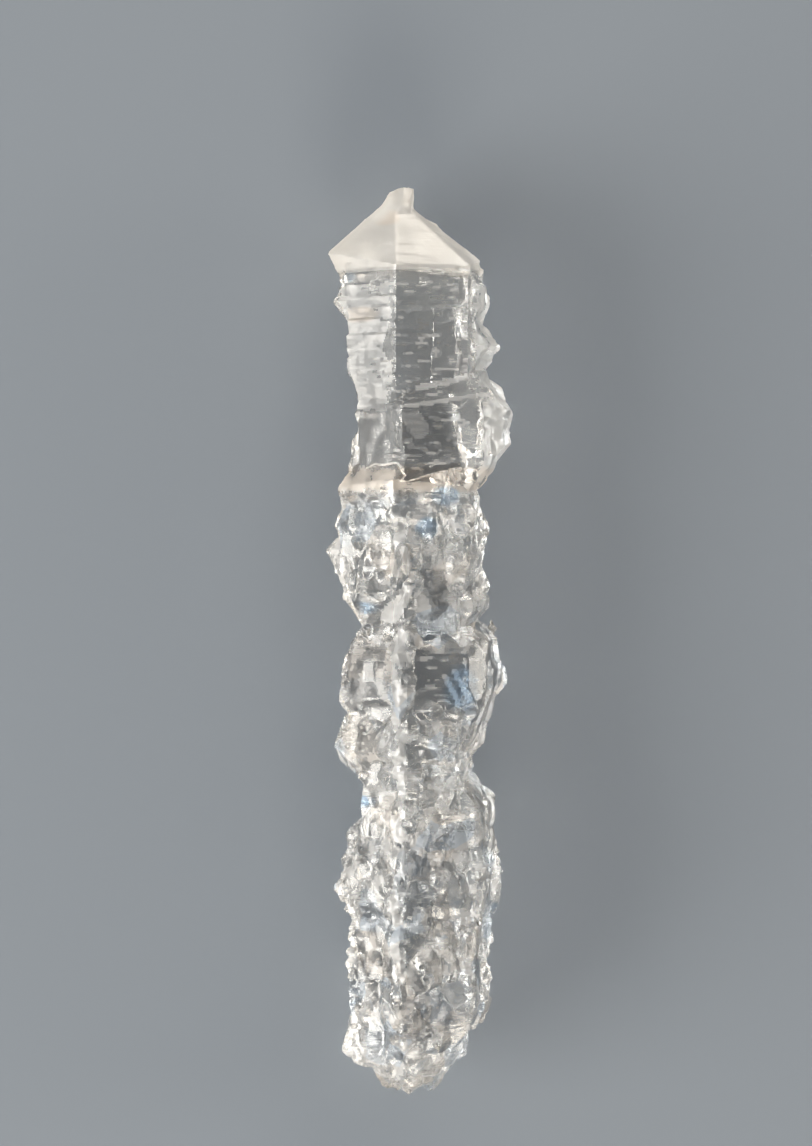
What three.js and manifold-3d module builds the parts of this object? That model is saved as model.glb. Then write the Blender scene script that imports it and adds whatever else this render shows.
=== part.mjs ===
// Etched quartz crystal: one solid, in millimetres, lying on a prism face.
//
// The crystal is a stack of growth blocks that share one lattice: every block has its six prism faces in
// the same six directions, and six faces lean in above them and six below. The c axis, the crystal's
// length, is Y, and the pyramid tip points to +Y. +Z is up, and the lowest prism faces of the three largest
// blocks lie in the plane that the crystal rests on. The front edge and the two prism faces beside it look
// up. The blocks are joined, etched scales are joined to them, and the rest plane is cut.

import * as THREE from "three";
import { mergeVertices } from "three/addons/utils/BufferGeometryUtils.js";
import Module from "manifold-3d";

const wasm = await Module();
wasm.setup();

// --------------------------------------------------------------------------------------- dimensions, mm

const AXIS_HEIGHT = 4.9; // of the c axis above the surface that the crystal rests on
const BLANK = 40; // half side of the cube that a block is cut from, larger than any block
const WELD = 1e-4; // corners closer than this are one
const ROOTED = 0.75; // of a scale's volume that has to lie in the blocks, or it is left out
const SMALLEST = 0.02; // details below this size are smoothed out of the joined solid
const SEED = 20417;

// How the etched scales vary, as [least, most] factors unless said otherwise.
const SCALE = {
  sunk: [2.3, 3.1], // radius over the height that it stands proud
  rise: [0.85, 1.2], // of the upper half
  drop: [0.7, 1.05], // of the lower half
  size: [0.62, 1.32],
  spacing: [0.7, 1.4],
  turn: 0.35, // either way about the c axis, in radians
  tilt: 0.22, // either way off the c axis, in radians
  sideways: 0.3, // either way off the edge that it grows on, in mm
  margin: 0.12, // of a face's width that is kept clear at its edges
};

// Directions of the six prism faces, in degrees about the c axis from +X towards +Z:
// right, top, left, lower left, bottom, lower right.
const FACE_ANGLES = [30, 90, 150, 210, 270, 330];

// The edge between the top and left prism faces looks up and to the front.
const FRONT_EDGE = 1;
const CREST = {
  bottom: 17,
  top: 38.5,
  overrun: 2.2, // past the ends of a block's prism faces
  scales: { step: 0.75, height: 1.5, proud: 0.34 },
};

// Growth blocks, from the tip down. Each has
//   at     its centre: x and z from the c axis, and y along it
//   reach  from the centre to its prism faces, in the order of FACE_ANGLES, or one number for all six
//   waist  [lower, upper] height of the prism faces' ends above the centre
//   slant  [lower, upper] rise of those ends for 1 mm towards +X, and lean the same towards +Z
//   tip    where the upper six faces meet, from the centre
//   foot   where the lower six faces meet, from the centre
//   chips  further flat cuts: [normal, distance from the centre]
const BLOCKS = {
  cap: {
    at: [0, 55.8, 0],
    reach: [4.45, 4.3, 4.33, 5.33, 4.1, 3.1],
    waist: [0, 0.45],
    slant: [-0.06, 0],
    lean: [-0.15, -0.2],
    tip: [-1.15, 4.6, -0.35],
    foot: [0, -9.8, 0],
  },
  nib: {
    at: [-0.6, 59.3, 0.1],
    reach: [0.62, 0.9, 1.5, 1.5, 0.9, 0.62],
    waist: [-1.4, 1.42],
    tip: [0, 1.57, 0],
    foot: [0, -4, 0],
    chips: [
      [[-0.621, 0.617, 0.482], 0.8],
      [[-0.632, 0.744, -0.216], 1.26],
    ],
  },
  neck: {
    at: [0, 51, 0],
    reach: [4.25, 4.1, 4.2, 3.87, 4.0, 4.9],
    waist: [-3.6, 4.5],
    slant: [-0.33, 0],
    lean: [-0.2, 0],
    tip: [0, 7.5, 0],
    foot: [0, -16, 0],
  },
  neckStep: {
    at: [0, 53.6, 0],
    reach: [3.9, 4.22, 4.28, 3.8, 4.1, 3.4],
    waist: [-0.6, 1.6],
    slant: [0.12, 0],
    tip: [0, 5, 0],
    foot: [0, -12, 0],
  },
  rightShoulder: {
    at: [0, 53.5, 0],
    reach: [4.9, 3.5, 1.5, 1.5, 3.4, 4.55],
    waist: [-0.7, 0.5],
    tip: [0, 7.6, 0],
    foot: [0, -8.4, 0],
    chips: [
      [[0.84, 0.42, 0.34], 4.75],
      [[0, 1, 0], 3.6],
    ],
  },
  leftSpur: {
    at: [0, 53.85, 0],
    reach: [1.5, 3.9, 4.36, 4.9, 3.9, 1.5],
    waist: [-0.05, 0.05],
    slant: [0.14, 0.14],
    tip: [0, 8.6, 0],
    foot: [0, -8, 0],
    chips: [[[0, 1, 0], 3.4]],
  },
  rightSpur: {
    at: [0, 50.3, 0],
    reach: [5.3, 3.6, 1.5, 1.5, 3.5, 5.64],
    waist: [-0.05, 0.05],
    tip: [0, 8.8, 0],
    foot: [0, -9.6, 0],
    chips: [[[0, 1, 0], 5.5]],
  },
  upperLedge: {
    at: [0, 47.3, 0],
    reach: [4.2, 4.2, 3.6, 2.6, 4.1, 3.6],
    waist: [-3, 0],
    slant: [0, 0.19],
    tip: [0, 5, 0],
    foot: [0, -8, 0],
  },
  lowerLedge: {
    at: [0, 46.5, 0],
    reach: [4.7, 4.34, 4.0, 3.1, 4.3, 4.2],
    waist: [-3, 0],
    slant: [0, 0.15],
    tip: [0, 7, 0],
    foot: [0, -8, 0],
  },
  greatLobe: {
    at: [0, 44, 0],
    reach: [6.35, 4.4, 3.9, 3.05, 4.9, 7.1],
    waist: [-2.1, 2],
    slant: [0.27, 0],
    tip: [0, 10.7, 0],
    foot: [0.5, -7.5, 0],
    chips: [
      [[0.5, 0, 0.866], 5.35],
      [[0.5, 0, -0.866], 6.0],
      [[0.97, 0.24, 0], 7.15],
      [[0.89, -0.45, 0], 6.2],
    ],
  },
  leftShelf: {
    at: [0, 45, 0],
    reach: [1.5, 3.9, 4.02, 3.12, 3.4, 1.5],
    waist: [-0.3, 0.3],
    slant: [-0.2, -0.2],
    tip: [0, 12, 0],
    foot: [0, -12, 0],
  },
  leftLobe: {
    at: [0, 41.3, 0],
    reach: [3.9, 4.3, 4.5, 4.5, 4.4, 3.6],
    waist: [-0.3, 0.6],
    slant: [0.12, 0.2],
    tip: [0.3, 7.4, 0],
    foot: [0, -10.3, 0],
  },
  knobblyTop: {
    at: [0, 37, 0],
    reach: [4.1, 4.2, 3.6, 3.6, 4.4, 4.3],
    waist: [-3, 3.1],
    tip: [0, 12, 0],
    foot: [0, -12, 0],
  },
  knobblyWaist: {
    at: [0, 36.7, 0],
    reach: [4.1, 4.3, 4.0, 4.8, 4.5, 4.05],
    waist: [-1.1, 1.1],
    tip: [0, 10.5, 0],
    foot: [0, -12, 0],
  },
  knobblyRight: {
    at: [0, 36.2, 0],
    reach: [4.6, 4.3, 3, 3, 4.3, 4.4],
    waist: [-0.1, 0.1],
    tip: [0, 18, 0],
    foot: [0, -18, 0],
  },
  knobblyCorner: {
    at: [0, 33.7, 0],
    reach: [3, 4.2, 4.25, 4.65, 4.2, 3],
    waist: [0, 0.1],
    tip: [0, 17, 0],
    foot: [0, -6.2, 0],
  },
  smallRightLobe: {
    at: [0, 33.1, 0],
    reach: [4.55, 4.2, 3, 3, 4.2, 4.6],
    waist: [-0.3, 0.3],
    tip: [0, 6.1, 0],
    foot: [0, -9.8, 0],
  },
  middleLobe: {
    at: [0, 29, 0],
    reach: [5.3, 4.6, 4.1, 4.2, 4.9, 5.6],
    waist: [-1.4, 1.1],
    slant: [0, 0.12],
    tip: [0, 6.9, 0],
    foot: [0, -14.5, 0],
    chips: [[[0.5, 0, 0.866], 5.2]],
  },
  middleBulge: {
    at: [2.9, 28.2, -0.2],
    reach: [3.23, 3.4, 3.23, 3.23, 3.23, 3.23],
    waist: [-0.5, 0.5],
    tip: [0, 7, 0],
    foot: [0, -8, 0],
  },
  middleLeft: {
    at: [0, 27.5, 0],
    reach: [3, 4.3, 4.15, 4.67, 4.3, 3],
    waist: [-0.45, 0.45],
    slant: [0.1, 0.1],
    tip: [0, 10.5, 0],
    foot: [0, -5.2, 0],
  },
  lowerLeft: {
    at: [0, 23.2, 0],
    reach: [3, 4.4, 4.2, 4.94, 4.3, 3],
    waist: [-0.35, 0.35],
    slant: [-0.12, -0.12],
    tip: [0, 11.8, 0],
    foot: [0, -5.3, 0],
  },
  spine: {
    at: [0, 29, 0],
    reach: [3.6, 4.1, 3.7, 2.9, 4.2, 3.6],
    waist: [-22, 24],
    tip: [0, 28, 0],
    foot: [0, -26, 0],
  },
  scalyBelly: {
    at: [0, 16, 0],
    reach: [5.1, 4.6, 4.1, 4.3, 4.9, 5.45],
    waist: [-2.8, 1.6],
    slant: [0, 0.43],
    tip: [0, 10.5, 0],
    foot: [0, -12, 0],
  },
  scalyFoot: {
    at: [0, 9, 0],
    reach: [4.5, 4.2, 3.8, 3.6, 4.6, 4.7],
    waist: [-4.2, 3],
    slant: [0.3, 0],
    tip: [0, 12, 0],
    foot: [-0.2, -10.2, 0],
    chips: [[[0.1, -1, 0.1], 7.9]],
  },
  footLeft: {
    at: [-1.6, 4, 0.3],
    reach: [2, 2.4, 2.2, 2.05, 2.4, 2],
    waist: [-1.2, 0.6],
    tip: [0, 5, 0],
    foot: [0.5, -3.4, 0],
  },
  footRight: {
    at: [1.7, 3.6, -0.4],
    reach: 2.1,
    waist: [-0.6, 0.6],
    slant: [0.3, 0],
    tip: [0, 5, 0],
    foot: [-0.4, -3.2, 0.2],
  },
  footPoint: {
    at: [0.2, 2.6, -0.6],
    reach: 2,
    waist: [-0.4, 0.6],
    tip: [0, 5, 0],
    foot: [-0.2, -2.6, 0],
  },
};

// ---------------------------------------------------------------------------------------- small helpers

// The same random numbers each time, from 0 to 1 (mulberry32).
function randomSource(seed) {
  let state = seed;
  return () => {
    state = (state + 0x6d2b79f5) | 0;
    let t = Math.imul(state ^ (state >>> 15), 1 | state);
    t = (t + Math.imul(t ^ (t >>> 7), 61 | t)) ^ t;
    return ((t ^ (t >>> 14)) >>> 0) / 4294967296;
  };
}

// A closed three.js geometry as a manifold solid.
function solidFrom(geometry) {
  const bare = geometry.clone();
  bare.deleteAttribute("normal");
  bare.deleteAttribute("uv");
  const merged = mergeVertices(bare, WELD);
  return new wasm.Manifold(
    new wasm.Mesh({
      numProp: 3,
      vertProperties: new Float32Array(merged.attributes.position.array),
      triVerts: new Uint32Array(merged.index.array),
    }),
  );
}

// A manifold solid as a flat-shaded three.js geometry.
function geometryFrom(solid) {
  const mesh = solid.getMesh();
  const geometry = new THREE.BufferGeometry();
  geometry.setAttribute("position", new THREE.BufferAttribute(mesh.vertProperties, 3));
  geometry.setIndex(new THREE.BufferAttribute(mesh.triVerts, 1));
  return geometry;
}

// Keeps what lies behind the plane through point with that outward normal.
function cutBy(solid, normal, point) {
  const n = normal.clone().normalize();
  return solid.trimByPlane([-n.x, -n.y, -n.z], -n.dot(point));
}

// ---------------------------------------------------------------------------------------- growth blocks

// One convex growth block about the origin: six prism faces, and six faces each up to its tip and down to
// its foot.
function growthBlock({ reach, waist, slant = [0, 0], lean = [0, 0], tip, foot, chips = [] }) {
  let block = solidFrom(new THREE.BoxGeometry(2 * BLANK, 2 * BLANK, 2 * BLANK));
  FACE_ANGLES.forEach((degrees, k) => {
    const angle = THREE.MathUtils.degToRad(degrees);
    const distance = Array.isArray(reach) ? reach[k] : reach;
    const outward = new THREE.Vector3(Math.cos(angle), 0, Math.sin(angle));
    const onFace = outward.clone().multiplyScalar(distance);
    block = cutBy(block, outward, onFace);
    [foot, tip].forEach((apex, end) => {
      const brim = onFace.clone();
      brim.y = waist[end] + slant[end] * onFace.x + lean[end] * onFace.z;
      const along = new THREE.Vector3(-outward.z, 0, outward.x);
      along.y = slant[end] * along.x + lean[end] * along.z;
      const inward = new THREE.Vector3(...apex).sub(brim);
      const normal = new THREE.Vector3().crossVectors(along, inward);
      if (normal.dot(outward) < 0) normal.negate();
      block = cutBy(block, normal, brim);
    });
  });
  for (const [direction, distance] of chips) {
    const normal = new THREE.Vector3(...direction).normalize();
    block = cutBy(block, normal, normal.clone().multiplyScalar(distance));
  }
  return block;
}

// Where the edge between prism face k and the next one crosses the plane across the c axis.
function edgeOf(reach, k) {
  const next = (k + 1) % FACE_ANGLES.length;
  const a = THREE.MathUtils.degToRad(FACE_ANGLES[k]);
  const b = THREE.MathUtils.degToRad(FACE_ANGLES[next]);
  const det = Math.sin(b - a);
  return new THREE.Vector3(
    (reach[k] * Math.sin(b) - reach[next] * Math.sin(a)) / det,
    0,
    (reach[next] * Math.cos(a) - reach[k] * Math.cos(b)) / det,
  );
}

// A small six-sided growth with a point above and below, turned about the c axis so that one of its edges
// faces the given direction, and tilted a little at random.
function hillock({ place, radius, rise, drop, facing, tilt }) {
  const profile = [
    new THREE.Vector2(0, -drop),
    new THREE.Vector2(radius, 0),
    new THREE.Vector2(0, rise),
  ];
  const turn = new THREE.Euler(between(-tilt, tilt), -facing, between(-tilt, tilt), "YXZ");
  const geometry = new THREE.LatheGeometry(profile, 6, Math.PI / 6);
  geometry.applyMatrix4(new THREE.Matrix4().makeRotationFromEuler(turn));
  geometry.translate(place.x, place.y, place.z);
  return solidFrom(geometry);
}

// ------------------------------------------------------------------------------------------ etched skin

const random = randomSource(SEED);
const between = (low, high) => low + (high - low) * random();

// One scale whose outer edge stands proud of a point of the surface. Height is that of what shows.
function scaleAt(point, outward, height, proud) {
  const radius = proud * between(...SCALE.sunk);
  const rise = ((height / 2) * radius) / proud;
  return hillock({
    place: point.clone().addScaledVector(outward, proud - radius),
    radius,
    rise: rise * between(...SCALE.rise),
    drop: rise * between(...SCALE.drop),
    facing: Math.atan2(outward.z, outward.x) + between(-SCALE.turn, SCALE.turn),
    tilt: SCALE.tilt,
  });
}

// How far a block's sides have come in at a height: 1 along its prism faces, 0 at its tip and its foot.
function narrowing({ at, waist, tip, foot }, y) {
  const above = y - at[1];
  if (above > waist[1]) return Math.max(0, (tip[1] - above) / (tip[1] - waist[1]));
  if (above < waist[0]) return Math.max(0, (above - foot[1]) / (waist[0] - foot[1]));
  return 1;
}

// Rows of overlapping scales along edges of a block, each edge named by the prism face before it.
function edgeScales(block, { from, to, step, height, proud, edges = [0, 1, 2, 3, 4, 5] }) {
  const scales = [];
  for (const k of edges) {
    const edge = edgeOf(block.reach, k);
    const outward = edge.clone().normalize();
    const sideways = new THREE.Vector3(-outward.z, 0, outward.x);
    for (let y = from + between(0, step); y < to; y += step * between(...SCALE.spacing)) {
      const size = between(...SCALE.size);
      const point = edge.clone().multiplyScalar(narrowing(block, y));
      point.addScaledVector(sideways, between(-SCALE.sideways, SCALE.sideways)).setY(y);
      scales.push(scaleAt(point, outward, height * size, proud * size));
    }
  }
  return scales;
}

// Scales over the six sides of a block, in rows that wander.
function faceScales(block, { from, to, perFace, height, proud }) {
  const scales = [];
  for (let k = 0; k < FACE_ANGLES.length; k += 1) {
    const start = edgeOf(block.reach, (k + 5) % 6);
    const end = edgeOf(block.reach, k);
    const angle = THREE.MathUtils.degToRad(FACE_ANGLES[k]);
    const outward = new THREE.Vector3(Math.cos(angle), 0, Math.sin(angle));
    for (let i = 0; i < perFace; i += 1) {
      const size = between(...SCALE.size);
      const y = from + (to - from) * ((i + random()) / perFace);
      const point = start.clone().lerp(end, between(SCALE.margin, 1 - SCALE.margin));
      point.multiplyScalar(narrowing(block, y)).setY(y);
      scales.push(scaleAt(point, outward, height * size, proud * size));
    }
  }
  return scales;
}

// The jagged crest that runs up the front edge, over the prism faces of one block.
function frontCrest(block) {
  const from = block.at[1] + block.waist[0] - CREST.overrun;
  const to = Math.min(block.at[1] + block.waist[1] + CREST.overrun, CREST.top);
  return edgeScales(block, { ...CREST.scales, from: Math.max(from, CREST.bottom), to, edges: [FRONT_EDGE] });
}

function etchedSkin() {
  const { scalyBelly, scalyFoot, knobblyWaist, knobblyTop, middleLobe, lowerLeft, spine } = BLOCKS;
  return [
    ...edgeScales(scalyBelly, { from: 12.8, to: 19, step: 0.85, height: 1.35, proud: 0.28 }),
    ...faceScales(scalyBelly, { from: 12.8, to: 18, perFace: 8, height: 1.5, proud: 0.26 }),
    ...edgeScales(scalyFoot, { from: 5, to: 13, step: 0.85, height: 1.3, proud: 0.28 }),
    ...faceScales(scalyFoot, { from: 5, to: 12.8, perFace: 10, height: 1.5, proud: 0.26 }),
    ...edgeScales(scalyFoot, { from: 2.2, to: 5.4, step: 0.8, height: 0.7, proud: 0.3 }),
    ...faceScales(scalyFoot, { from: 1.8, to: 5, perFace: 3, height: 0.8, proud: 0.26 }),
    ...edgeScales(knobblyWaist, { from: 34.3, to: 38.5, step: 1.5, height: 2.6, proud: 0.38 }),
    ...edgeScales(knobblyTop, { from: 33.2, to: 39.6, step: 1.9, height: 2.6, proud: 0.5 }),
    ...faceScales(knobblyWaist, { from: 32.8, to: 39.6, perFace: 6, height: 2.9, proud: 0.55 }),
    ...edgeScales(middleLobe, { from: 26, to: 31, step: 1.1, height: 1.5, proud: 0.24 }),
    ...faceScales(spine, { from: 20, to: 32, perFace: 6, height: 1.7, proud: 0.5 }),
    ...edgeScales(spine, { from: 20, to: 27, step: 1.3, height: 1.4, proud: 0.35 }),
    ...[scalyBelly, spine, lowerLeft, middleLobe, knobblyTop].flatMap((block) => frontCrest(block)),
  ];
}

// --------------------------------------------------------------------------------------------- assembly

function crystalSolid() {
  const grown = Object.values(BLOCKS).map((block) => growthBlock(block).translate(block.at));
  const core = wasm.Manifold.union(grown);
  const rooted = etchedSkin().filter((scale) => scale.intersect(core).volume() > ROOTED * scale.volume());
  const joined = wasm.Manifold.union([core, ...rooted]);
  return joined.simplify(SMALLEST).translate([0, 0, AXIS_HEIGHT]).trimByPlane([0, 0, 1], 0);
}

const QUARTZ = new THREE.MeshStandardMaterial({
  name: "clear_quartz",
  color: "#e8ebe9",
  roughness: 0.06,
  metalness: 0,
  transparent: true,
  opacity: 0.35,
});

// The origin is the middle of the crystal's box, on the surface that it rests on.
function quartzCrystal() {
  const geometry = geometryFrom(crystalSolid());
  geometry.computeBoundingBox();
  const { min, max } = geometry.boundingBox;
  const mesh = new THREE.Mesh(geometry, QUARTZ);
  mesh.name = "quartz_crystal";
  mesh.position.set(-(min.x + max.x) / 2, -(min.y + max.y) / 2, -min.z);
  return mesh;
}

const crystal = new THREE.Group();
crystal.add(quartzCrystal());

export default crystal;
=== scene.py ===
"""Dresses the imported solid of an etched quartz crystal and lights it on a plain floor.

The crystal lies on a prism face, with its c axis along Y and its pyramid tip towards +Y. Its solid has the
ledges, lobes and larger scales. Here that solid is meshed again on an even grid, worn a little at its edges
and given the fine etching that a solid of few faces can't hold. Its surface is clear, hazy or milky from
place to place. Lengths in millimetres have names that end in _mm.
"""

from __future__ import annotations

import logging
import math
from dataclasses import dataclass
from enum import Enum
from functools import cache

import bmesh
import bpy
import numpy as np
from mathutils import Matrix, Vector, noise

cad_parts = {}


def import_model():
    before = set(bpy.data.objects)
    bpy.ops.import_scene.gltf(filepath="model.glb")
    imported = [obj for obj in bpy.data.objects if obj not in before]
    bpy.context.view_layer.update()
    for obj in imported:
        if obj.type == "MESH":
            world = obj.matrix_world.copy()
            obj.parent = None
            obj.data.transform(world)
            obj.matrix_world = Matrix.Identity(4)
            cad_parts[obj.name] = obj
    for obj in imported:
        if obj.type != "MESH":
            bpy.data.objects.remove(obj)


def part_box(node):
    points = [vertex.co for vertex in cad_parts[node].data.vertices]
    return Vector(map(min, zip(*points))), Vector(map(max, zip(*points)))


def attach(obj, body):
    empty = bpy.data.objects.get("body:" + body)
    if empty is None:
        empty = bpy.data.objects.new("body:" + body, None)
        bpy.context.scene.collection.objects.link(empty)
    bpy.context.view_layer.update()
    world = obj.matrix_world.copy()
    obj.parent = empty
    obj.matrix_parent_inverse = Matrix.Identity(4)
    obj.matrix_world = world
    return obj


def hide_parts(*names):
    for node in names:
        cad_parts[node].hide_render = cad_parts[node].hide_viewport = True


LOG = logging.getLogger("quartz")
NODE = "quartz_crystal"
MM = 0.001
SEED = 11

# The c axis in the frame of the solid, and the angle about it from one prism edge to the next.
AXIS_X_MM = -0.8255
AXIS_Z_MM = 4.9
PRISM_DEG = 60.0

Socket = bpy.types.NodeSocket
Triple = tuple[float, float, float]


@cache
def foot_mm() -> float:
    """Returns the Y coordinate, in millimetres, of the crystal's foot."""
    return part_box(NODE)[0].y / MM


def along_axis(height_mm: float) -> float:
    """Returns the Y coordinate, in metres, of a height above the crystal's foot."""
    return (height_mm + foot_mm()) * MM


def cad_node(name: str) -> bpy.types.Object:
    """Returns a CAD node's object by its name."""
    return bpy.data.objects[name]


def new_object(name: str, data: bpy.types.ID) -> bpy.types.Object:
    """Makes an object and puts it in the scene.

    Args:
        name: Its name.
        data: Its mesh, light or camera.

    Returns:
        The object.
    """
    made = bpy.data.objects.new(name, data)
    bpy.context.scene.collection.objects.link(made)
    return made


def smooth_once(bm: bmesh.types.BMesh, verts: list[bmesh.types.BMVert]) -> None:
    """Moves vertices halfway to the middle of their neighbours."""
    bmesh.ops.smooth_vert(bm, verts=verts, factor=0.5, use_axis_x=True, use_axis_y=True, use_axis_z=True)


def smoothstep(low: float, high: float, value: np.ndarray) -> np.ndarray:
    """Eases from 0 to 1 between two values.

    Args:
        low: Where the result is 0.
        high: Where the result is 1. It may lie below low.
        value: The values to ease.

    Returns:
        The eased values, between 0 and 1.
    """
    t = np.clip((value - low) / (high - low), 0.0, 1.0)
    return t * t * (3.0 - 2.0 * t)


# ------------------------------------------------------------------------------------------ etched surface


@dataclass(frozen=True)
class Spot:
    """A part of the crystal, seen from above.

    Attributes:
        right_mm: Its middle, to the right of the c axis.
        height_mm: Its middle, above the foot.
        half_width_mm: Half its width.
        half_height_mm: Half its height.
    """

    right_mm: float
    height_mm: float
    half_width_mm: float
    half_height_mm: float


# The windows: flat and clear from the top prism face down to the one below. Each fades out over its edge.
WINDOWS = (
    Spot(0.3, 50.2, 2.5, 3.9),
    Spot(0.5, 43.9, 2.5, 2.4),
    Spot(1.2, 27.7, 2.1, 1.8),
)
WINDOW_EDGE_MM = 0.8


def window_share(places: np.ndarray) -> np.ndarray:
    """Works out how far each place lies in a window.

    Args:
        places: The places, in millimetres in the solid's frame.

    Returns:
        A share for each, from 0 outside to 1 inside.
    """
    share = np.zeros(len(places))
    for window in WINDOWS:
        across = np.abs(places[:, 0] - AXIS_X_MM - window.right_mm)
        along = np.abs(places[:, 1] - foot_mm() - window.height_mm)
        inside = smoothstep(window.half_width_mm + WINDOW_EDGE_MM, window.half_width_mm, across)
        inside = inside * smoothstep(window.half_height_mm + WINDOW_EDGE_MM, window.half_height_mm, along)
        share = np.maximum(share, inside)
    return share


@dataclass(frozen=True)
class Cloud:
    """A stretch of the surface that is milky.

    Attributes:
        low_mm: Height above the foot where it begins.
        high_mm: Height above the foot where it ends.
        from_deg: Where it begins about the c axis, from +X towards +Z.
        to_deg: Where it ends.
        amount: How much of it is milky, from 0 to 1.
    """

    low_mm: float
    high_mm: float
    from_deg: float
    to_deg: float
    amount: float


class Milk(Enum):
    """How milky the surface is, as the number of its finish."""

    CLEAR = 0
    HAZY = 1
    MILKY = 2


@dataclass(frozen=True)
class Stripe:
    """A straight milky stripe or ledge line across the top of the crystal.

    Attributes:
        from_right_mm: Its upper end, to the right of the c axis.
        from_height_mm: Its upper end, above the foot.
        to_right_mm: Its lower end, to the right of the c axis.
        to_height_mm: Its lower end, above the foot.
        width_mm: Its width.
        milk: How milky it is.
    """

    from_right_mm: float
    from_height_mm: float
    to_right_mm: float
    to_height_mm: float
    width_mm: float
    milk: Milk

    def distance(self, right: float, height: float) -> float:
        """Works out how far a place, seen from above, lies from the stripe's middle line.

        Args:
            right: How far it lies to the right of the c axis, in millimetres.
            height: Its height above the foot, in millimetres.

        Returns:
            The distance, in millimetres.
        """
        run = self.to_right_mm - self.from_right_mm
        fall = self.to_height_mm - self.from_height_mm
        share = (right - self.from_right_mm) * run + (height - self.from_height_mm) * fall
        share = min(1.0, max(0.0, share / (run * run + fall * fall)))
        return math.hypot(
            right - self.from_right_mm - share * run, height - self.from_height_mm - share * fall
        )


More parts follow.
